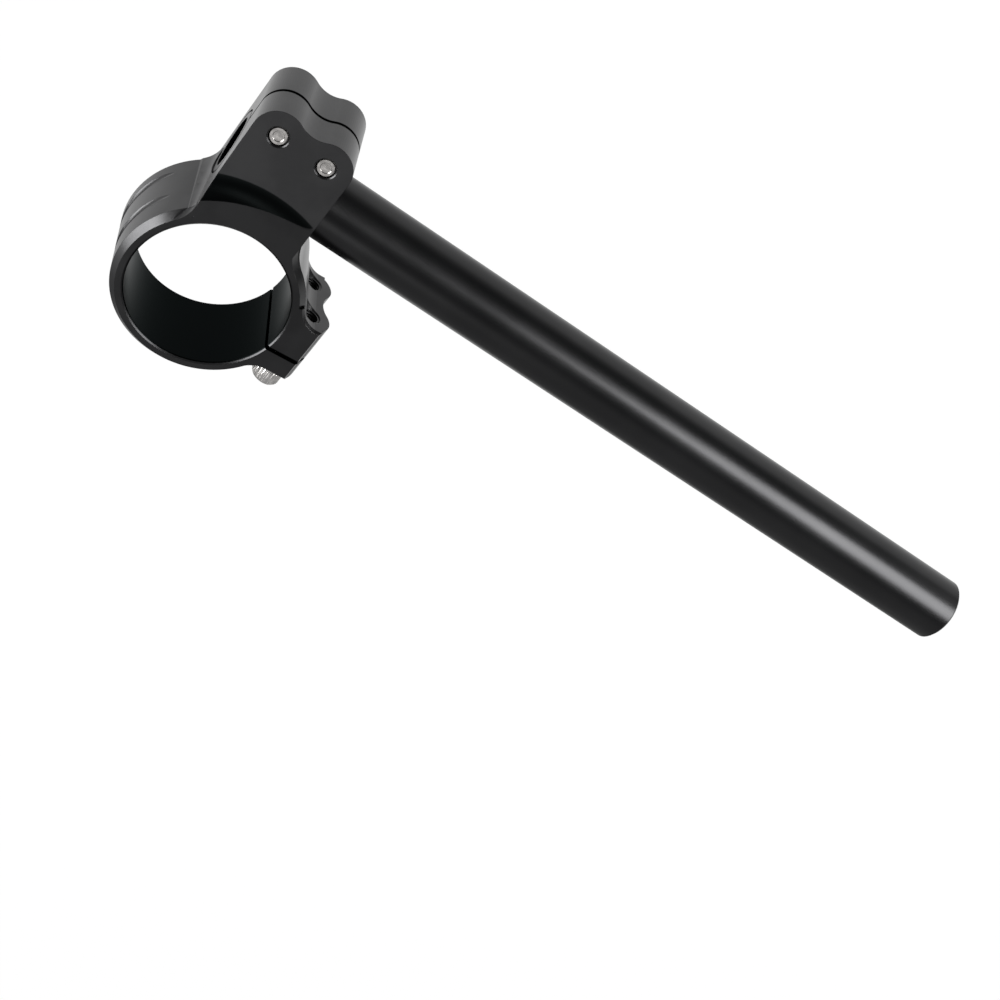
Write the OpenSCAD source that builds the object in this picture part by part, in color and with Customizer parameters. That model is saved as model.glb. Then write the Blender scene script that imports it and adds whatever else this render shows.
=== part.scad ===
// Clip-on handlebar: a split ring grips the fork leg, a split head grips the bar.
// Millimetres. Z is the axis of the fork bore, with the open front face upwards.
// X points along the bar to its free end, Y from the ring to the head.
// The origin is on the bore axis, halfway through the ring.

/* [Fork ring] */
// Diameter of the fork bore
fork_d = 50; // [43:0.5:54]
// Wall of the ring
ring_wall = 4.4; // [3.8:0.1:7]
// Depth of the ring along the fork
ring_depth = 32.5; // [28:0.5:40]
// Width of the big chamfer round the front and back, measured across the wall
rim_chamfer_in = 1.8; // [0.8:0.1:2.4]
// Depth of the big chamfer, measured along the fork
rim_chamfer_deep = 2.6; // [1:0.1:4]
// Small chamfer at both mouths of the fork bore
bore_chamfer = 0.7; // [0.3:0.1:1.2]

/* [Ring grooves] */
// Radius of the ball-nose cutter that makes the two grooves
groove_ball_r = 2.6; // [1.5:0.1:4]
// Depth of the grooves at their middle
groove_depth = 1.2; // [0.4:0.1:1.4]
// Distance of the front groove from mid-depth
groove_front_z = 4.3; // [2:0.1:8]
// Distance of the back groove from mid-depth
groove_back_z = 8.4; // [5:0.1:12]
// Angle at which the grooves start, from the free end of the bar
groove_start = 146; // [142:1:160]
// Angle that the grooves run through
groove_sweep = 106; // [60:1:150]

/* [Head] */
// Width of the head along the bar
head_w = 32; // [28:0.5:40]
// Distance from the fork axis to the bar axis
bar_offset = 38.5; // [38:0.5:46]
// Distance that the bar axis lies behind mid-depth of the ring
bar_drop = 2.6; // [0:0.1:4]
// Angle of the bar to the ring's faces
bar_tilt = 7; // [0:0.5:10]
// Thickness of the head in front of the bar axis
head_front = 17; // [15:0.1:19]
// Thickness of the head behind the bar axis
head_back = 13.5; // [13:0.1:18]
// Distance from the bar axis to the two bar screws
bar_screw_rise = 18; // [17:0.1:22]
// Depth of the dip between the two bumps on top of the head
dip_depth = 2; // [1:0.1:3]
// Distance that the clamping slit lies in front of the bar axis
head_slit_front = 3; // [0:0.1:5]
// Width of the clamping slit
head_slit_w = 1.2; // [0.5:0.1:2]
// Radius of the cove between the head and the ring's front face
cove_r = 10.5; // [7:0.1:14]
// Radius about the fork axis at which the cove meets the head's front face
cove_path_r = 41.1; // [39:0.1:44]
// Fillet between the closed side of the head and the ring, at the front face
closed_fillet_front_r = 4; // [3:0.5:7]
// The same fillet at the back face
closed_fillet_back_r = 11; // [8:0.5:12]
// Fillet between the bar side of the head and the ring
bar_fillet_r = 14; // [10:0.5:16]

/* [Pinch ears] */
// Distance of the pinch screws from the ring's outer wall
pinch_screw_out = 2.4; // [2.2:0.1:6]
// Distance between the two pinch screws
pinch_pitch = 17.5; // [15:0.1:20]
// Radius of the lobe round each pinch screw
lobe_r = 6.7; // [5:0.1:7.5]
// Depth of the dip between the two lobes
lobe_dip = 2.6; // [1:0.1:3]
// Height of the threaded ear's top above the fork axis
threaded_ear_y = 7.2; // [5:0.1:10]
// Distance of the pinch slit below the fork axis
pinch_slit_y = 6.2; // [4:0.1:8]
// Width of the pinch slit
pinch_slit_w = 1.2; // [0.5:0.1:2.5]
// Thickness of the plain ear, which the screw heads bear on
plain_ear_t = 8.5; // [6:0.1:11]
// Fillet between the ring and the threaded ear
threaded_ear_fillet_r = 9; // [5:0.5:12]
// Fillet between the ring and the plain ear
plain_ear_fillet_r = 7.5; // [4:0.5:9]
// Narrow chamfer along the threaded ear and the ends of both ears, measured across the edge
ear_chamfer_in = 0.7; // [0.3:0.1:1.2]
// Depth of the narrow chamfer, measured along the fork
ear_chamfer_deep = 1; // [0.4:0.1:1.6]
// Rounding of the plain ear's outer corner
ear_corner_r = 3.5; // [1:0.1:5]

/* [Bar] */
// Outside diameter of the bar
bar_d = 22.2; // [20:0.1:22.4]
// Wall of the bar
bar_wall = 2.8; // [1.5:0.1:4]
// Length of the bar
bar_l = 288; // [200:1:320]
// Chamfer on the outer edges of the bar
bar_edge = 0.8; // [0.3:0.1:1.5]
// Radial clearance between the bar and its bore
bar_clearance = 0.05; // [0.02:0.01:0.1]

/* [Screws] */
// Thread diameter of all four screws
screw_d = 6; // [5:0.5:6]
// Diameter of a screw head
screw_head_d = 9.6; // [8.5:0.1:10.5]
// Height of a screw head
screw_head_h = 5.7; // [4:0.1:7]
// Width across the flats of the hex socket
socket_w = 5; // [3:0.1:6]
// Depth of the hex socket
socket_deep = 3; // [1.5:0.1:4]
// Length of the two bar screws under the head
bar_screw_l = 30; // [25:0.5:34]
// Length of the two pinch screws under the head
pinch_screw_l = 20; // [16:0.5:26]
// Radial clearance of a screw in its threaded hole
thread_clearance = 0.05; // [0.02:0.01:0.2]
// Radial clearance of a screw in its plain hole
plain_clearance = 0.3; // [0.2:0.05:0.6]

/* [Hidden] */
$fn = 96;

anodised_black = [0.13, 0.13, 0.135];
bar_black = [0.16, 0.16, 0.17];
stainless = [0.78, 0.78, 0.77];

// Cuts run past the faces that they open by this much
overrun = 2;
// Small overlap that joins two cuts, and the thickness of a layer that only holds an outline
seam = 0.05;
// Chamfer at the mouth of every screw hole
mouth_chamfer = 0.35;
// Chamfer round a screw head and at a screw's tip
head_chamfer = 0.6;
tip_chamfer = 0.4;
// A screw head bears on a spot face that is wider by this much all round
spot_clearance = 0.5;
// Depth that the fillets reach into the walls that they join
fillet_root = 6;
// A fillet's face runs this far into both walls, so that it meets them at a definite edge
fillet_lap = 0.1;

fork_r = fork_d / 2;
outer_r = fork_r + ring_wall;
half_depth = ring_depth / 2;
bar_r = bar_d / 2;
bar_bore_r = bar_r + bar_clearance;
screw_r = screw_d / 2;
bump_r = head_w / 4;
head_top = bar_screw_rise + bump_r;
plain_ear_y = pinch_slit_y + pinch_slit_w / 2 + plain_ear_t;
pinch_x = outer_r + pinch_screw_out;
ear_end = pinch_x + lobe_r;
foot_y = sqrt(pow((fork_r + outer_r) / 2, 2) - pow(head_w / 2, 2));
head_reach = ring_depth + head_front + head_back;

// Radius of a circle that dips between two bumps of radius r at distance 2 * half, touching both
function dip_r(r, half, dip) = (half * half + pow(r - dip, 2) - r * r) / (2 * dip);

// Half of a wavy edge, from the middle of the dip over the bump to its side.
// The bump's centre is at [half, 0], and the edge's top is at height r.
function half_wave(r, half, dip) =
  let (
    d = dip_r(r, half, dip),
    slope = atan2(half, d + r - dip),
    steps = 24
  )
  concat(
    [for (i = [0 : steps - 1]) [0, d + r - dip] + polar(d, -90 + slope * i / steps)],
    [for (i = [0 : steps]) [half, 0] + polar(r, 90 + slope - (90 + slope) * i / steps)]
  );

function flip_x(points) = [for (i = [len(points) - 1 : -1 : 1]) [-points[i].x, points[i].y]];

// The whole wavy edge, from the left side over both bumps to the right side
function wave(r, half, dip) = concat(flip_x(half_wave(r, half, dip)), half_wave(r, half, dip));

// Where the head's side plane lies at height z, and the centre of a fillet that rolls between it and the ring
function side_x(z, side) = (side * head_w / 2 - (z + bar_drop) * sin(bar_tilt)) / cos(bar_tilt);
function roll_centre(z, side, r) =
  let (x = side_x(z, side) + side * (r - fillet_lap))
  [x, sqrt(pow(outer_r + r - fillet_lap, 2) - x * x), z];

// Centre of a fillet between the ring and a flat face at distance level
function ear_fillet_x(r, level) = sqrt(pow(outer_r + r - fillet_lap, 2) - pow(level + r - fillet_lap, 2));

function polar(r, a) = [r * cos(a), r * sin(a)];

// The bar's own frame: X along the bar, Y as before, Z square to the head's front face
module in_bar_frame() {
  translate([0, bar_offset, -bar_drop])
    rotate([0, -bar_tilt, 0])
      children();
}

// Outline of the stock that a fillet of radius r is hollowed from, between the angles from and to
function fillet_outline(r, from, to) =
  [polar(r, from), polar(r + fillet_root, from), polar(r + fillet_root, to), polar(r, to)];

// Opens a fillet's hollow to a chamfer at one face of the ring
module fillet_flare(r, wide, deep) {
  more = 1 + overrun / deep;
  translate([0, 0, half_depth - deep])
    cylinder(r1 = r, r2 = r + wide * more, h = deep * more);
}

// An upright fillet with a chamfer along both of its edges
module upright_fillet(r, from, to, wide, deep) {
  difference() {
    linear_extrude(height = ring_depth, center = true)
      polygon(fillet_outline(r, from, to));
    cylinder(r = r, h = ring_depth + 2 * overrun, center = true);
    fillet_flare(r, wide, deep);
    mirror([0, 0, 1])
      fillet_flare(r, wide, deep);
  }
}

// A thin layer that holds the outline of a rolling fillet's stock at one face of the ring
module roll_layer(side, centre, r) {
  to_head = side > 0 ? 180 : 0;
  to_ring = side > 0 ? 180 + atan2(centre.y, centre.x) : atan2(-centre.y, -centre.x);
  translate(centre)
    linear_extrude(height = seam)
      polygon(fillet_outline(r, to_head, to_ring));
}

// A fillet between the head's side, which leans, and the upright ring. Its hollow is a leaning cone
// that rolls on both, opened to the big chamfer at both faces of the ring.
module rolling_fillet(side, back_r, front_r) {
  low = roll_centre(-half_depth, side, back_r);
  high = roll_centre(half_depth, side, front_r);
  run = high - low;
  long = norm(run);
  upright = run.z / long;
  growth = (front_r - back_r) / long;
  difference() {
    hull() {
      roll_layer(side, low, back_r);
      roll_layer(side, high - [0, 0, seam], front_r);
    }
    translate(low)
      rotate([0, acos(upright), atan2(run.y, run.x)])
        translate([0, 0, -overrun])
          cylinder(r1 = (back_r - overrun * growth) * upright, r2 = (front_r + overrun * growth) * upright,
            h = long + 2 * overrun);
    translate([high.x, high.y, 0])
      fillet_flare(front_r, rim_chamfer_in, rim_chamfer_deep);
    translate([low.x, low.y, 0])
      mirror([0, 0, 1])
        fillet_flare(back_r, rim_chamfer_in, rim_chamfer_deep);
  }
}

// The big chamfer at the front of the closed side's fillet, which narrows to nothing at the head
module closed_flare() {
  face_r = outer_r - rim_chamfer_in;
  edge_r = closed_fillet_front_r + fillet_lap;
  edge = roll_centre(half_depth - rim_chamfer_deep, -1, edge_r);
  wall = seam - side_x(half_depth, -1);
  wide_r = (wall * wall + edge.y * edge.y - face_r * face_r) / (2 * (face_r - wall));
  hull() {
    translate(edge)
      cylinder(r = edge_r, h = seam, $fn = 32);
    translate([-wall - wide_r, edge.y, half_depth])
      cylinder(r = wide_r, h = overrun, $fn = 32);
  }
}

// The ring as a solid drum, with the big chamfer at both faces
module ring_drum() {
  face_r = outer_r - rim_chamfer_in;
  inner = half_depth - rim_chamfer_deep;
  rotate_extrude()
    polygon([
      [0, -half_depth], [face_r, -half_depth], [outer_r, -inner],
      [outer_r, inner], [face_r, half_depth], [0, half_depth]
    ]);
}

// Outline of the head seen from the front, with two bumps round the screws
module head_outline() {
  foot = foot_y - bar_offset;
  polygon(concat(
    [[head_w / 2, foot], [-head_w / 2, foot]],
    [for (p = wave(bump_r, head_w / 4, dip_depth)) p + [0, bar_screw_rise]]
  ));
}

// The head up to the ring's front face, before the cove is cut
module head_block() {
  intersection() {
    in_bar_frame()
      translate([0, 0, -head_back])
        linear_extrude(height = head_reach)
          head_outline();
    translate([-head_w, 0, half_depth - head_reach])
      cube([2 * head_w, bar_offset + 2 * head_top, head_reach]);
  }
}

// Clears the head's front face down to a cove that runs round the fork axis
module cove_cut() {
  steps = 30;
  in_bar_frame()
    translate([head_front * tan(bar_tilt), -bar_offset, head_front])
      rotate_extrude($fn = 192)
        polygon(concat(
          [for (i = [0 : steps]) [cove_path_r, cove_r] + polar(cove_r, 180 + 90 * i / steps)],
          [[3 * cove_path_r, 0], [3 * cove_path_r, cove_r]]
        ));
}

// Outline of both ears seen along the pinch screws: a lobe round each screw and a dip between them
module ear_plan() {
  flat_end = ear_end - lobe_dip;
  inner = half_depth - ear_chamfer_deep;
  polygon([for (p = wave(lobe_r, pinch_pitch / 2, lobe_dip)) [pinch_x + p.y, p.x]]);
  difference() {
    polygon([
      [fork_r, -half_depth], [flat_end - ear_chamfer_in, -half_depth], [flat_end, -inner],
      [flat_end, inner], [flat_end - ear_chamfer_in, half_depth], [fork_r, half_depth]
    ]);
    translate([pinch_x, -pinch_pitch / 2])
      square([lobe_r + overrun, pinch_pitch]);
  }
}

// Outline of both ears seen from the front, with the outer corner of the plain ear rounded
module ear_front() {
  low = -plain_ear_y;
  translate([0, low + ear_corner_r])
    square([ear_end + overrun, threaded_ear_y - low - ear_corner_r]);
  translate([0, low])
    square([ear_end - ear_corner_r, threaded_ear_y - low]);
  translate([ear_end - ear_corner_r, low + ear_corner_r])
    circle(r = ear_corner_r);
}

// Outline of both ears seen from the end: narrow chamfers on the threaded ear, big ones on the plain ear
module ear_side() {
  low = -plain_ear_y;
  rim_inner = half_depth - rim_chamfer_deep;
  ear_inner = half_depth - ear_chamfer_deep;
  polygon([
    [low + rim_chamfer_in, -half_depth], [low, -rim_inner], [low, rim_inner], [low + rim_chamfer_in, half_depth],
    [threaded_ear_y - ear_chamfer_in, half_depth], [threaded_ear_y, ear_inner],
    [threaded_ear_y, -ear_inner], [threaded_ear_y - ear_chamfer_in, -half_depth]
  ]);
}

module ear_block() {
  tall = threaded_ear_y + plain_ear_y;
  intersection() {
    translate([0, threaded_ear_y, 0])
      rotate([90, 0, 0])
        linear_extrude(height = tall)
          ear_plan();
    linear_extrude(height = ring_depth, center = true)
      ear_front();
    rotate([90, 0, 90])
      linear_extrude(height = ear_end + overrun)
        ear_side();
  }
}

// Fillets in the corners between the ring and the two ears
module ear_fillets() {
  tx = ear_fillet_x(threaded_ear_fillet_r, threaded_ear_y);
  ty = threaded_ear_y + threaded_ear_fillet_r - fillet_lap;
  px = ear_fillet_x(plain_ear_fillet_r, plain_ear_y);
  py = plain_ear_y + plain_ear_fillet_r - fillet_lap;
  translate([tx, ty, 0])
    upright_fillet(threaded_ear_fillet_r, 180 + atan2(ty, tx), 270, ear_chamfer_in, ear_chamfer_deep);
  translate([px, -py, 0])
    upright_fillet(plain_ear_fillet_r, 90, 180 - atan2(py, px), rim_chamfer_in, rim_chamfer_deep);
}

// One groove round the ring. The ball-nose cutter swings about a centre beside the fork axis,
// so the groove is deepest at its middle and fades out at both ends.
module ring_groove(z) {
  middle = groove_start + groove_sweep / 2;
  shift = groove_depth / (1 - cos(groove_sweep / 2));
  rotate([0, 0, middle])
    translate([-shift, 0, z])
      rotate([0, 0, -groove_sweep / 2])
        rotate_extrude(angle = groove_sweep, $fn = 192)
          translate([outer_r - groove_depth + groove_ball_r + shift, 0])
            circle(r = groove_ball_r, $fn = 48);
}

// The fork bore with its two chamfered mouths
module fork_bore() {
  cylinder(r = fork_r, h = ring_depth + 2 * overrun, center = true);
  for (turn = [0, 180])
    rotate([turn, 0, 0])
      translate([0, 0, half_depth - bore_chamfer])
        cylinder(r1 = fork_r, r2 = fork_r + bore_chamfer + overrun, h = bore_chamfer + overrun);
}

module pinch_slit() {
  translate([0, -pinch_slit_y - pinch_slit_w / 2, -half_depth - overrun])
    cube([ear_end + overrun, pinch_slit_w, ring_depth + 2 * overrun]);
}

module head_slit() {
  translate([-head_w / 2 - overrun, 0, head_slit_front - head_slit_w / 2])
    cube([head_w + 2 * overrun, head_top + overrun, head_slit_w]);
}

// A screw hole along +Z: plain from 0 to split, threaded from there to long, with chamfered mouths
module screw_hole(split, long) {
  thread_r = screw_r + thread_clearance;
  plain_r = screw_r + plain_clearance;
  translate([0, 0, -overrun])
    cylinder(r = plain_r, h = split + overrun);
  translate([0, 0, -overrun])
    cylinder(r = thread_r, h = long + 2 * overrun);
  translate([0, 0, long - mouth_chamfer])
    cylinder(r1 = thread_r, r2 = thread_r + mouth_chamfer + overrun, h = mouth_chamfer + overrun);
}

// Places a pinch screw: along +Y from the plain ear's face
module at_pinch_screw(s) {
  translate([pinch_x, -plain_ear_y, s * pinch_pitch / 2])
    rotate([-90, 0, 0])
      children();
}

// Places a bar screw: from the head's back face towards the front
module at_bar_screw(s) {
  in_bar_frame()
    translate([s * head_w / 4, bar_screw_rise, -head_back])
      children();
}

module clamp_body() {
  color(anodised_black)
    difference() {
      union() {
        ring_drum();
        ear_block();
        ear_fillets();
        rolling_fillet(-1, closed_fillet_back_r, closed_fillet_front_r);
        rolling_fillet(1, bar_fillet_r, bar_fillet_r);
        head_block();
      }
      fork_bore();
      cove_cut();
      closed_flare();
      ring_groove(groove_front_z);
      ring_groove(-groove_back_z);
      pinch_slit();
      in_bar_frame() {
        rotate([0, 90, 0])
          cylinder(r = bar_bore_r, h = 2 * head_w, center = true);
        head_slit();
      }
      for (s = [-1, 1]) {
        at_bar_screw(s)
          screw_hole(head_back + head_slit_front, head_back + head_front);
        at_pinch_screw(s) {
          screw_hole(plain_ear_t + pinch_slit_w / 2, plain_ear_y + threaded_ear_y);
          translate([0, 0, -screw_head_h - overrun])
            cylinder(r = screw_head_d / 2 + spot_clearance, h = screw_head_h + overrun);
        }
      }
    }
}

module bar_tube() {
  inner_r = bar_r - bar_wall;
  color(bar_black)
    in_bar_frame()
      translate([-head_w / 2, 0, 0])
        rotate([0, 90, 0])
          rotate_extrude($fn = 128)
            polygon([
              [inner_r, 0], [bar_r - bar_edge, 0], [bar_r, bar_edge], [bar_r, bar_l - bar_edge],
              [bar_r - bar_edge, bar_l], [inner_r, bar_l]
            ]);
}

// A hex socket cap screw: the head's seat at z = 0, the head below it and the shank above
module cap_screw(long) {
  head_r = screw_head_d / 2;
  socket_r = socket_w / 2 / cos(30);
  color(stainless)
    difference() {
      rotate_extrude($fn = 64)
        polygon([
          [0, -screw_head_h], [head_r - head_chamfer, -screw_head_h], [head_r, -screw_head_h + head_chamfer],
          [head_r, 0], [screw_r, 0], [screw_r, long - tip_chamfer], [screw_r - tip_chamfer, long], [0, long]
        ]);
      translate([0, 0, -screw_head_h - overrun])
        cylinder(r = socket_r, h = socket_deep + overrun, $fn = 6);
      translate([0, 0, -screw_head_h + socket_deep - seam])
        cylinder(r1 = socket_w / 2, r2 = 0, h = socket_w / 4, $fn = 48);
    }
}

module bar_clamp_screw(s) {
  at_bar_screw(s)
    cap_screw(bar_screw_l);
}

module fork_pinch_screw(s) {
  at_pinch_screw(s)
    cap_screw(pinch_screw_l);
}

clamp_body();
bar_tube();
bar_clamp_screw(-1);  // bar_clamp_screw_1
bar_clamp_screw(1);  // bar_clamp_screw_2
fork_pinch_screw(-1);  // fork_pinch_screw_1
fork_pinch_screw(1);  // fork_pinch_screw_2
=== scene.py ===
from math import atan2, cos, pi, radians, sin, sqrt, tau

import bpy
from mathutils import Matrix, Vector


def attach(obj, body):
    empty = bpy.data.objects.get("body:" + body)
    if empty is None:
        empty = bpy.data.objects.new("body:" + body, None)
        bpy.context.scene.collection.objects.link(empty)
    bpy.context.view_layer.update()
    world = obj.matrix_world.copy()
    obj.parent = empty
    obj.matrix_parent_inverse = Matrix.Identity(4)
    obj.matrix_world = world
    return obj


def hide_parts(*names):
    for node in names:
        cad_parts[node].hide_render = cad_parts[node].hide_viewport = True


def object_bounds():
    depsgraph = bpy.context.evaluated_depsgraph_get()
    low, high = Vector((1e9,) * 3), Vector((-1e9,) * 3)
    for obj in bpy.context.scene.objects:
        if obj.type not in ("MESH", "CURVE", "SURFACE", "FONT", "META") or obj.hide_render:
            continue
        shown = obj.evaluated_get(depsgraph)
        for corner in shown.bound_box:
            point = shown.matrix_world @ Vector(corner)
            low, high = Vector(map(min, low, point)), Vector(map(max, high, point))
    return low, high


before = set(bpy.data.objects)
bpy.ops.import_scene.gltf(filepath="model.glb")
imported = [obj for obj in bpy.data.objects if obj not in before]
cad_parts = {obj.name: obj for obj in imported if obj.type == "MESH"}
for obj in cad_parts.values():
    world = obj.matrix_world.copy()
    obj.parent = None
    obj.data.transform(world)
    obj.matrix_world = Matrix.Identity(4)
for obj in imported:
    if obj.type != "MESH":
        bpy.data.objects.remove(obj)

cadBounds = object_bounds()
mm = 0.001
print("frame loaded:", ", ".join(sorted(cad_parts)))


# Shader helpers: sums on a Wire add their Math nodes

class Wire:
    def __init__(self, shader, socket):
        self.shader = shader
        self.socket = socket

    def math(self, operation, *values):
        inputs = dict(enumerate(values))
        return self.shader.add("ShaderNodeMath", dict(operation=operation), inputs)

    def __add__(self, other):
        return self.math("ADD", self, other)

    def __radd__(self, other):
        return self.math("ADD", other, self)

    def __sub__(self, other):
        return self.math("SUBTRACT", self, other)

    def __rsub__(self, other):
        return self.math("SUBTRACT", other, self)

    def __mul__(self, other):
        return self.math("MULTIPLY", self, other)

    def __rmul__(self, other):
        return self.math("MULTIPLY", other, self)

    def __pow__(self, other):
        return self.math("POWER", self, other)

    def __rpow__(self, other):
        return self.math("POWER", other, self)

    def __abs__(self):
        return self.math("ABSOLUTE", self)

    def sine(self):
        return self.math("SINE", self)

    def larger(self, other):
        return self.math("MAXIMUM", self, other)

    def rise(self, band, edge=0):  # 0 before the band at an edge, 1 after it, smooth in between
        limits = {"Value": self, "From Min": edge + band[0], "From Max": edge + band[1]}
        return self.shader.add("ShaderNodeMapRange", dict(interpolation_type="SMOOTHSTEP"), limits)


class Shader:
    def __init__(self, owner):
        owner.use_nodes = True
        self.owner = owner
        self.tree = owner.node_tree
        self.tree.nodes.clear()

    def add(self, kind, settings=None, inputs=None, output=0):
        node = self.tree.nodes.new(kind)
        for name, value in (settings or {}).items():
            setattr(node, name, value)
        for name, value in (inputs or {}).items():
            if isinstance(value, Wire):
                self.tree.links.new(value.socket, node.inputs[name])
            else:
                node.inputs[name].default_value = value
        return Wire(self, node.outputs[output])

    def place(self):
        return self.add("ShaderNodeTexCoord", output="Object")

    def split(self, vector):  # its x, y and z
        x = self.add("ShaderNodeSeparateXYZ", inputs={0: vector}, output="X")
        return [x] + [Wire(self, x.socket.node.outputs[name]) for name in "YZ"]

    def vector(self, operation, first, second, output=0):
        inputs = {0: first, 1: second}
        return self.add("ShaderNodeVectorMath", dict(operation=operation), inputs, output)

    def along(self, place, origin, axis):  # distance from origin along axis, in metres
        return self.vector("DOT_PRODUCT", self.vector("SUBTRACT", place, origin), axis, "Value")

    def noise(self, place, scale, detail, roughness):
        inputs = {"Vector": place, "Scale": scale, "Detail": detail, "Roughness": roughness}
        return self.add("ShaderNodeTexNoise", dict(noise_dimensions="3D"), inputs)

    def blend(self, factor, low, high):
        ends = [value if isinstance(value, Wire) else (*value, 1) for value in (low, high)]
        return self.add("ShaderNodeMix", dict(data_type="RGBA"), {0: factor, 6: ends[0], 7: ends[1]}, 2)

    def relief(self, height, strength, depth, normal=None):
        inputs = {"Height": height, "Strength": strength, "Distance": depth}
        if normal:
            inputs["Normal"] = normal
        return self.add("ShaderNodeBump", inputs=inputs)

    def edges(self, radius):  # softens the edges, as a real edge break does
        return self.add("ShaderNodeBevel", dict(samples=6), {"Radius": radius})

    def metal(self, colour, roughness, normal, **others):
        inputs = {"Base Color": colour, "Metallic": 1.0, "Roughness": roughness, "Normal": normal}
        return self.add("ShaderNodeBsdfPrincipled", inputs={**inputs, **others})

    def finish(self, shader, kind="ShaderNodeOutputMaterial"):
        self.tree.links.new(shader.socket, self.tree.nodes.new(kind).inputs["Surface"])
        return self.owner


def newShader(name):
    return Shader(bpy.data.materials.new(name))


# Camera, at the photograph's place

cameraPlace = dict(
    eye=(-0.119298, 0.277964, 0.446440),
    target=(0.132223, -0.029464, -0.003254),
    right=(0.80389, 0.59314, 0.04413),
    lens=61.664,
    sensor=36.0,
    nearest=0.01,
)


def makeCamera(place):
    eye = Vector(place["eye"])
    forward = (Vector(place["target"]) - eye).normalized()
    right = Vector(place["right"])
    right = (right - forward * right.dot(forward)).normalized()
    up = right.cross(forward)
    data = bpy.data.cameras.new("camera")
    data.lens = place["lens"]
    data.sensor_width = place["sensor"]
    data.clip_start = place["nearest"]
    camera = bpy.data.objects.new("camera", data)
    camera.matrix_world = Matrix.Translation(eye) @ Matrix((right, up, -forward)).transposed().to_4x4()
    bpy.context.scene.collection.objects.link(camera)
    bpy.context.scene.camera = camera


makeCamera(cameraPlace)
bpy.context.scene.view_settings.view_transform = "Standard"
print("camera placed")


# The clamp's own sizes, and the bar's frame: its axis, and the square to the head's front face

clamp = dict(
    boreRadius=25 * mm,
    halfDepth=16.25 * mm,
    barOffset=38.5 * mm,
    barDrop=2.6 * mm,
    barTilt=radians(7),
    headHalf=16 * mm,
    headFront=17 * mm,
    headBack=13.5 * mm,
    barScrewRise=18 * mm,
    pinchX=31.8 * mm,
    pinchPitch=17.5 * mm,
    plainEar=15.3 * mm,
    threadedEar=7.2 * mm,
    headSlit=3 * mm,
    pinchSlit=-6.2 * mm,
    slitHalf=0.6 * mm,
)
barFrame = (Matrix.Translation((0, clamp["barOffset"], -clamp["barDrop"]))
            @ Matrix.Rotation(-clamp["barTilt"], 4, "Y"))
barAxis = barFrame.to_3x3() @ Vector((1, 0, 0))
faceAxis = barFrame.to_3x3() @ Vector((0, 0, 1))
barOrigin = barFrame.translation


# Black anodised clamp, with painted shade: the bore, the cove and both slits are darker than the rest

clampFinish = dict(
    colour=(0.052, 0.052, 0.053),
    darker=(0.042, 0.042, 0.043),
    patch=(0.35, 0.65),  # values of the cloud noise between which the colour changes
    cloud=(55, 3, 0.55),  # scale, detail and roughness of a noise
    grain=(5200, 2, 0.6),
    relief=(0.10, 0.02 * mm),  # strength and depth
    roughness=0.30,
    spread=0.05,
    edgeRadius=0.2 * mm,
    # painted shade: near-black colours and a low reflection tint for the bore and the cove
    borePaintedShade=(0.0027, 0.0033, 0.0034),
    covePaintedShade=(0.008, 0.0095, 0.0095),
    paintedShadeTint=(0.54, 0.55, 0.55, 1),
    hollowRoughness=0.3,
    boreWall=(0.35 * mm, 0.50 * mm),  # band outside the bore's radius where its dark ends
    boreMouth=(-0.50 * mm, -0.35 * mm),  # and behind the ring's front face
    coveFoot=(24 * mm, 26 * mm),  # distances from the fork axis
    coveSides=(-0.3 * mm, -0.1 * mm),  # inside the head's sides
    coveStart=(0.005 * mm, 0.035 * mm),  # in front of the head's face
    coveEnd=(-0.12 * mm, -0.04 * mm),  # behind the ring's front face
    headSlitStart=(0, 1 * mm),  # past the bar's axis
    pinchSlitStart=(-3 * mm, -2 * mm),  # inside the bore's radius
    slitSpread=(0.10 * mm, 0.28 * mm),  # past a slit's own half width
)


def slitMask(across, middle, look):  # 1 inside a slit and at its very edges
    return 1 - abs(across - middle).rise(look["slitSpread"], clamp["slitHalf"])


def unevenRoughness(look, *noises):
    rough = look["roughness"]
    for noise in noises:
        rough = rough + (noise - 0.5) * look["spread"]
    return rough


def clampMaterial(name, look, softEdges=True):
    s = newShader(name)
    place = s.place()
    cloud = s.noise(place, *look["cloud"])
    grain = s.noise(place, *look["grain"])
    x, y, z = s.split(place)
    u = s.along(place, barOrigin, barAxis)
    w = s.along(place, barOrigin, faceAxis)
    radius = (x * x + y * y) ** 0.5
    bore = ((1 - radius.rise(look["boreWall"], clamp["boreRadius"]))
            * (1 - z.rise(look["boreMouth"], clamp["halfDepth"])))
    inHead = y.rise(look["coveFoot"]) * (1 - abs(u).rise(look["coveSides"], clamp["headHalf"]))
    cove = (inHead * w.rise(look["coveStart"], clamp["headFront"])
            * (1 - z.rise(look["coveEnd"], clamp["halfDepth"])))
    headGap = y.rise(look["headSlitStart"], clamp["barOffset"]) * slitMask(w, clamp["headSlit"], look)
    pinchGap = x.rise(look["pinchSlitStart"], clamp["boreRadius"]) * slitMask(y, clamp["pinchSlit"], look)
    # painted shade mask: 1 in the bore, the cove and both slits, which turn to a dark, dimly reflecting copy
    # of the metal
    hollow = bore.larger(cove).larger(headGap).larger(pinchGap)
    normal = s.relief(grain, *look["relief"], s.edges(look["edgeRadius"]) if softEdges else None)
    black = s.blend(cloud.rise(look["patch"]), look["darker"], look["colour"])
    outside = s.metal(black, unevenRoughness(look, cloud, grain), normal)
    # painted shade colours and reflection for the hollows
    dark = s.blend(cove, look["borePaintedShade"], look["covePaintedShade"])
    paintedInsideShade = s.metal(dark, look["hollowRoughness"], normal, **{"Specular Tint": look["paintedShadeTint"]})
    return s.finish(s.add("ShaderNodeMixShader", inputs={0: hollow, 1: outside, 2: paintedInsideShade}))


# Black anodised bar, with fine drawing lines along it and painted shade inside its open end

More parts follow.
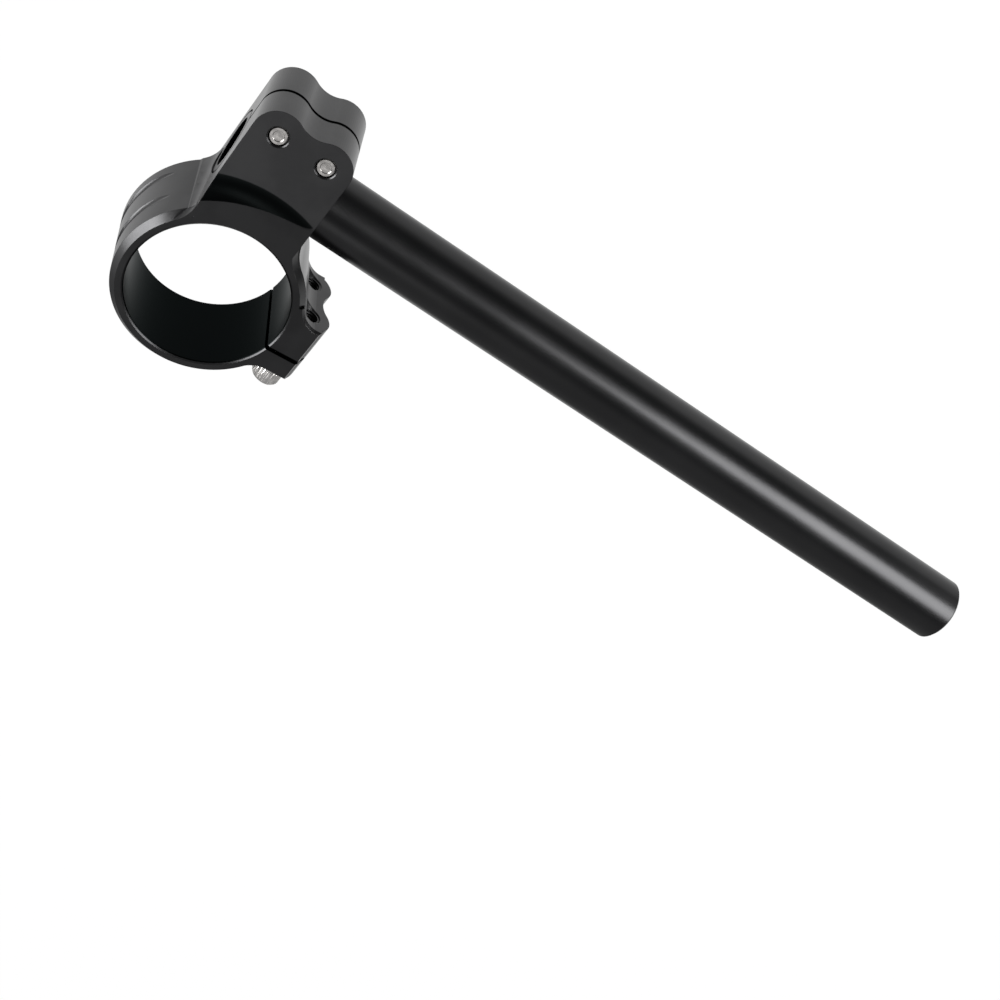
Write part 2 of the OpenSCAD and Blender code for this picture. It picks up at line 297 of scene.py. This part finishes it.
barFinish = dict(
    colour=(0.046, 0.046, 0.047),
    darker=(0.040, 0.040, 0.041),
    tint=(0.85, 0.85, 0.85, 1),
    patch=(0.35, 0.65),
    cloud=(40, 3, 0.5),
    grain=(4200, 2, 0.6),
    lines=(1, 3, 0.6),
    lineScale=(60, 2200),  # along the bar and across it
    lineShare=0.5,
    relief=(0.12, 0.02 * mm),
    roughness=0.30,
    spread=0.05,
    edgeRadius=0.3 * mm,
    # painted shade: near black inside the bar's open end
    paintedInsideShade=(0.004, 0.004, 0.0045),
    innerRadius=8.3 * mm,
    innerEnd=(0.1 * mm, 0.4 * mm),
)


def barMaterial(name, look):
    s = newShader(name)
    place = s.place()
    u = s.along(place, barOrigin, barAxis)
    v = s.along(place, barOrigin, (0, 1, 0))
    w = s.along(place, barOrigin, faceAxis)
    long, fine = look["lineScale"]
    drawn = s.add("ShaderNodeCombineXYZ", inputs={"X": u * long, "Y": v * fine, "Z": w * fine})
    lines = s.noise(drawn, *look["lines"])
    grain = s.noise(place, *look["grain"])
    cloud = s.noise(place, *look["cloud"])
    radius = (v * v + w * w) ** 0.5
    # painted shade mask inside the bar's bore
    paintedInsideShade = 1 - radius.rise(look["innerEnd"], look["innerRadius"])
    black = s.blend(cloud.rise(look["patch"]), look["darker"], look["colour"])
    colour = s.blend(paintedInsideShade, black, look["paintedInsideShade"])
    normal = s.relief(lines * look["lineShare"] + grain, *look["relief"], s.edges(look["edgeRadius"]))
    rough = unevenRoughness(look, cloud, grain)
    return s.finish(s.metal(colour, rough, normal, **{"Specular Tint": look["tint"]}))


# Stainless screws: turned rings on the flat ends, fine noise on the rest, darker threaded ends

screwFinish = dict(
    colour=(0.78, 0.76, 0.735),
    darker=(0.60, 0.585, 0.565),
    tip=(0.45, 0.435, 0.42),
    tipDarker=(0.30, 0.29, 0.28),
    tipStart=(14 * mm, 15 * mm),  # along the screw, from under its head
    patch=(0.4, 0.65),
    stain=(600, 3, 0.6),
    grain=(3000, 3, 0.6),
    ringPitch=0.30 * mm,
    ringShare=0.3,
    relief=(0.22, 0.03 * mm),
    roughness=0.25,
    spread=0.16,
)


def screwMaterial(name, look):
    s = newShader(name)
    place = s.place()
    x, y, z = s.split(place)
    rings = ((x * x + y * y) ** 0.5 * (tau / look["ringPitch"])).sine()
    grain = s.noise(place, *look["grain"])
    patch = s.noise(place, *look["stain"]).rise(look["patch"])
    bright = s.blend(patch, look["darker"], look["colour"])
    darkerEnd = s.blend(patch, look["tipDarker"], look["tip"])
    normal = s.relief(rings * look["ringShare"] + grain, *look["relief"])
    colour = s.blend(z.rise(look["tipStart"]), bright, darkerEnd)
    return s.finish(s.metal(colour, unevenRoughness(look, grain), normal))


def dress(nodeName, material):
    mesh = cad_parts[nodeName].data
    mesh.materials.clear()
    mesh.materials.append(material)


clampBlack = clampMaterial("black anodised clamp", clampFinish)
cornerBlack = clampMaterial("black anodised corner", clampFinish, softEdges=False)
barBlack = barMaterial("black anodised bar", barFinish)
stainless = screwMaterial("stainless screw", screwFinish)
dress("clamp_body", clampBlack)
dress("bar_tube", barBlack)
print("finishes made")


# Mesh helpers: a skin over rings of points, closed by flat ends or round into itself

sharpAngle = radians(28)


def surfaceOf(name, rings, steps, material, closedRound=False):
    points = [point for ring in rings for point in ring]
    quads = []
    pairs = list(zip(range(len(rings)), range(1, len(rings))))
    if closedRound:
        pairs.append((len(rings) - 1, 0))
    for low, high in pairs:
        for i in range(steps):
            j = (i + 1) % steps
            quads.append((low * steps + i, low * steps + j, high * steps + j, high * steps + i))
    if not closedRound:
        quads.append(tuple(reversed(range(steps))))
        quads.append(tuple(range((len(rings) - 1) * steps, len(rings) * steps)))
    mesh = bpy.data.meshes.new(name)
    mesh.from_pydata(points, [], quads)
    mesh.materials.append(material)
    mesh.validate()
    piece = bpy.data.objects.new(name, mesh)
    bpy.context.scene.collection.objects.link(piece)
    return piece


def smooth(piece):
    piece.data.shade_smooth()
    piece.data.set_sharp_from_angle(angle=sharpAngle)


# The big chamfer in the corner between the ring and the head's closed side, which tapers off at the head

corner = dict(
    ringRadius=29.4 * mm,
    faceRadius=27.6 * mm,
    filletRadius=4.56 * mm,
    chamferDepth=2.6 * mm,
    root=1.4 * mm,  # how deep the piece is sunk into the clamp
    lift=0.02 * mm,
    steps=28,
)


def headSide(z):  # x of the head's closed side
    return -(clamp["headHalf"] + (z + clamp["barDrop"]) * sin(clamp["barTilt"])) / cos(clamp["barTilt"])


def makeCorner(shape):
    top = clamp["halfDepth"] + shape["lift"]
    lowZ = clamp["halfDepth"] - shape["chamferDepth"]
    lowR = shape["filletRadius"]
    lowX = headSide(lowZ) - lowR
    middleY = sqrt((shape["ringRadius"] + lowR) ** 2 - lowX ** 2)
    wall = -headSide(clamp["halfDepth"])
    highR = (wall ** 2 + middleY ** 2 - shape["faceRadius"] ** 2) / (2 * (shape["faceRadius"] - wall))
    highX = -wall - highR

    def point(x, radius, z, share):  # share 1 is at the ring, and 0 at the head
        angle = atan2(-middleY, -x) * share
        return x + radius * cos(angle), middleY + radius * sin(angle), z

    rings = []
    for i in range(shape["steps"] + 1):
        share = 1 - i / shape["steps"]
        rings.append([
            point(lowX, lowR, lowZ, share),
            point(highX, highR, top, share),
            point(highX, highR + shape["root"], top, share),
            point(lowX, lowR + shape["root"], lowZ, share),
        ])
    piece = surfaceOf("clamp_corner_chamfer", rings, len(rings[0]), cornerBlack)
    smooth(piece)
    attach(piece, "root")


makeCorner(corner)
print("corner made")


# Screws with knurled heads, hex sockets, real threads and a turned dish in the tip

screw = dict(
    steps=120,
    headRadius=4.77 * mm,
    headHeight=5.7 * mm,
    headChamfer=0.6 * mm,
    lip=0.1 * mm,  # between the flat top and its chamfer
    lipDrop=0.03 * mm,
    knurls=30,
    knurlDepth=0.22 * mm,
    knurlRun=0.25 * mm,  # over which the knurls run out below the chamfer
    knurlEnd=0.7 * mm,  # from the head's underside
    collar=0.45 * mm,
    socketHalf=2.5 * mm,
    socketDepth=3 * mm,
    socketBreak=0.3 * mm,
    socketFloor=2.45 * mm,
    drillPoint=1.25 * mm,
    hub=0.2 * mm,  # radius of the small flat that closes an end
    radius=2.98 * mm,
    threadStart=2.5 * mm,
    threadDepth=0.55 * mm,
    threadSlope=1.35,
    threadLand=0.2,
    pitch=1 * mm,
    ringsPerPitch=10,
    tipChamfer=0.4 * mm,
    dishRim=1.75 * mm,
    dishDepth=0.18 * mm,
    barLength=30 * mm,
    pinchLength=20 * mm,
)


def threadShape(turns):  # 0 at the crest of the thread and 1 at its root
    slope = abs(2 * (turns % 1) - 1)
    return min(1, max(0, slope * screw["threadSlope"] - screw["threadLand"]))


def threadHeights(start, end):
    count = round((end - start) / screw["pitch"] * screw["ringsPerPitch"])
    return [start + (end - start) * i / count for i in range(count + 1)]


def ringOf(steps, radiusAt, height):
    angles = [tau * i / steps for i in range(steps)]
    return [(radiusAt(a) * cos(a), radiusAt(a) * sin(a), height) for a in angles]


def circle(radius):
    return lambda a: radius


def hexagon(half):
    def radiusAt(a):
        sector = tau / 6
        return half / cos((a + sector / 2) % sector - sector / 2)
    return radiusAt


def screwRings(shape, length):
    head = shape["headRadius"]
    shank = shape["radius"]
    hub = circle(shape["hub"])

    def knurl(a):
        return head - shape["knurlDepth"] * abs(2 * (a / tau * shape["knurls"] % 1) - 1)

    def thread(z):
        limit = shank - max(0, z - (length - shape["tipChamfer"]))

        def radiusAt(a):
            return min(shank - shape["threadDepth"] * threadShape(z / shape["pitch"] - a / tau), limit)
        return radiusAt

    top = -shape["headHeight"]
    socketEnd = top + shape["socketDepth"]
    chamfer = shape["headChamfer"]
    collar = circle(head - shape["knurlDepth"])
    dishEnd = length - shape["dishDepth"]
    profile = [
        (hub, socketEnd + shape["drillPoint"]),
        (circle(shape["socketFloor"]), socketEnd),
        (hexagon(shape["socketHalf"]), socketEnd),
        (hexagon(shape["socketHalf"]), top + shape["socketBreak"]),
        (hexagon(shape["socketHalf"] + shape["socketBreak"]), top),
        (circle(head - chamfer - shape["lip"]), top),
        (circle(head - chamfer), top + shape["lipDrop"]),
        (collar, top + chamfer),
        (knurl, top + chamfer + shape["knurlRun"]),
        (knurl, -shape["knurlEnd"]),
        (collar, -shape["collar"]),
        (collar, 0),
        (circle(shank), 0),
        (circle(shank), shape["threadStart"]),
    ]
    profile += [(thread(z), z) for z in threadHeights(shape["threadStart"], length)[1:]]
    profile += [
        (circle(shape["dishRim"]), length),
        (circle(shape["dishRim"] - shape["dishDepth"]), dishEnd),
        (hub, dishEnd),
    ]
    return [ringOf(shape["steps"], radiusAt, z) for radiusAt, z in profile]


def makeScrew(nodeName, place, length):
    piece = surfaceOf(nodeName + "_detail", screwRings(screw, length), screw["steps"], stainless)
    piece.matrix_world = place
    smooth(piece)
    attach(piece, "root")
    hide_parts(nodeName)


def barScrewPlace(side):
    offset = (side * clamp["headHalf"] / 2, clamp["barScrewRise"], -clamp["headBack"])
    return barFrame @ Matrix.Translation(offset)


def pinchScrewPlace(side):
    offset = (clamp["pinchX"], -clamp["plainEar"], side * clamp["pinchPitch"] / 2)
    return Matrix.Translation(offset) @ Matrix.Rotation(radians(-90), 4, "X")


for number, side in ((1, -1), (2, 1)):
    makeScrew(f"bar_clamp_screw_{number}", barScrewPlace(side), screw["barLength"])
    makeScrew(f"fork_pinch_screw_{number}", pinchScrewPlace(side), screw["pinchLength"])
print("screws made")


# Threads that show in the mouths of the two pinch holes

holeThread = dict(
    inner=2.5 * mm,
    outer=3.04 * mm,
    skin=0.03 * mm,  # how deep the outside is sunk into the ear
    gap=0.05 * mm,  # to the screw's tip
    mouth=0.35 * mm,
    phase=0.5,
)


def makeHoleThread(name, place, shape):
    start = screw["pinchLength"] + shape["gap"]
    end = clamp["plainEar"] + clamp["threadedEar"] - shape["mouth"]
    outside = circle(shape["outer"] + shape["skin"])

    def thread(z):
        def radiusAt(a):
            root = threadShape(z / screw["pitch"] - a / tau + shape["phase"])
            return shape["inner"] + (shape["outer"] - shape["inner"]) * root
        return radiusAt

    profile = [(outside, start), (outside, end)]
    profile += [(thread(z), z) for z in reversed(threadHeights(start, end))]
    rings = [ringOf(screw["steps"], radiusAt, z) for radiusAt, z in profile]
    piece = surfaceOf(name, rings, screw["steps"], clampBlack, closedRound=True)
    piece.matrix_world = place
    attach(piece, "root")


for number, side in ((1, -1), (2, 1)):
    makeHoleThread(f"pinch_hole_thread_{number}", pinchScrewPlace(side), holeThread)
print("hole threads made")


# Studio: a white floor that a gloss sees fade away, a dark room, and soft lamps

white = (1, 1, 1)

studio = dict(
    floorSize=12.0,
    floorDrop=0.09,
    floorColour=(0.86, 0.86, 0.86),
    floorGlow=0.96,
    floorSkew=0.5,  # the bright strip runs along the bar
    floorFade=(0.15, 0.6),
    floorFaded=(0.28, 0.28, 0.28),
    flagPlace=(-0.14, -0.26, 0),  # a dark patch that only a gloss sees
    flagFade=(0.10, 0.24),
    flag=(0.15, 0.15, 0.155),
    roomFront=(0.40, 0.40, 0.405),
    roomBack=(0.09, 0.09, 0.095),
    roomFade=(-0.45, 0.05),
    fill=(0.55, 0.55, 0.55),
)


class Seen:  # 1 for what the camera, a glass or a gloss sees
    def __init__(self, s):
        self.camera = s.add("ShaderNodeLightPath", output="Is Camera Ray")
        outputs = self.camera.socket.node.outputs
        self.gloss = Wire(s, outputs["Is Glossy Ray"])
        self.direct = self.camera.larger(Wire(s, outputs["Is Transmission Ray"]))


def makeFloor(look):
    half = look["floorSize"] / 2
    height = cadBounds[0][2] - look["floorDrop"]
    mesh = bpy.data.meshes.new("floor")
    corners = [(-half, -half, height), (half, -half, height), (half, half, height), (-half, half, height)]
    mesh.from_pydata(corners, [], [(0, 1, 2, 3)])
    floor = bpy.data.objects.new("floor", mesh)
    bpy.context.scene.collection.objects.link(floor)
    s = newShader("white floor")
    seen = Seen(s)
    place = s.place()
    x, y, z = s.split(place)
    fade = abs(y - x * look["floorSkew"]).rise(look["floorFade"])
    flat = s.vector("MULTIPLY", place, (1, 1, 0))
    fromFlag = s.vector("DISTANCE", flat, look["flagPlace"], "Value")
    bright = s.blend(fade, white, look["floorFaded"])
    mirrored = s.blend(fromFlag.rise(look["flagFade"]), look["flag"], bright)
    glow = s.add("ShaderNodeEmission", inputs={"Color": s.blend(seen.gloss, white, mirrored)})
    matt = s.add("ShaderNodeBsdfDiffuse", inputs={"Color": (*look["floorColour"], 1)})
    share = seen.direct.larger(seen.gloss) * look["floorGlow"]
    mesh.materials.append(s.finish(s.add("ShaderNodeMixShader", inputs={0: share, 1: matt, 2: glow})))


def makeWorld(look):
    world = bpy.data.worlds.new("studio")
    bpy.context.scene.world = world
    s = Shader(world)
    seen = Seen(s)
    x, y, z = s.split(s.add("ShaderNodeTexCoord", output="Generated"))
    room = s.blend(y.rise(look["roomFade"]), look["roomFront"], look["roomBack"])
    backdrop = s.blend(seen.direct, look["fill"], white)
    colour = s.blend(seen.gloss, backdrop, room)
    s.finish(s.add("ShaderNodeBackground", inputs={"Color": colour, "Strength": 1.0}), "ShaderNodeOutputWorld")


softboxes = dict(
    keyLeft=dict(place=(-1.15, -0.14, 0.30), target=(0, 0, 0), size=(0.95, 0.90), radiance=11),
    overhead=dict(place=(-0.10, -0.58, 1.20), target=(0, 0.03, 0), size=(0.45, 0.45), radiance=0.85),
    backTop=dict(place=(-0.20, 0.60, 1.05), target=(0.06, 0.03, 0), size=(0.50, 0.36), radiance=1.3),
    endGlow=dict(place=(0.56, 0.34, 0.14), target=(0.27, 0.04, 0), size=(0.26, 0.26), radiance=0.7),
    barKey=dict(place=(0.75, 0.56, 0.76), target=(0.27, 0.04, 0.03), size=(0.70, 0.55), radiance=9.5),
)


def makeSoftbox(name, look):
    data = bpy.data.lights.new(name, "AREA")
    data.shape = "RECTANGLE"
    data.size, data.size_y = look["size"]
    data.energy = look["radiance"] * pi * data.size * data.size_y
    lamp = bpy.data.objects.new(name, data)
    place = Vector(look["place"])
    turn = (place - Vector(look["target"])).to_track_quat("Z", "Y").to_matrix().to_4x4()
    lamp.matrix_world = Matrix.Translation(place) @ turn
    bpy.context.scene.collection.objects.link(lamp)


makeFloor(studio)
makeWorld(studio)
for name, look in softboxes.items():
    makeSoftbox(name, look)
print("studio lit")
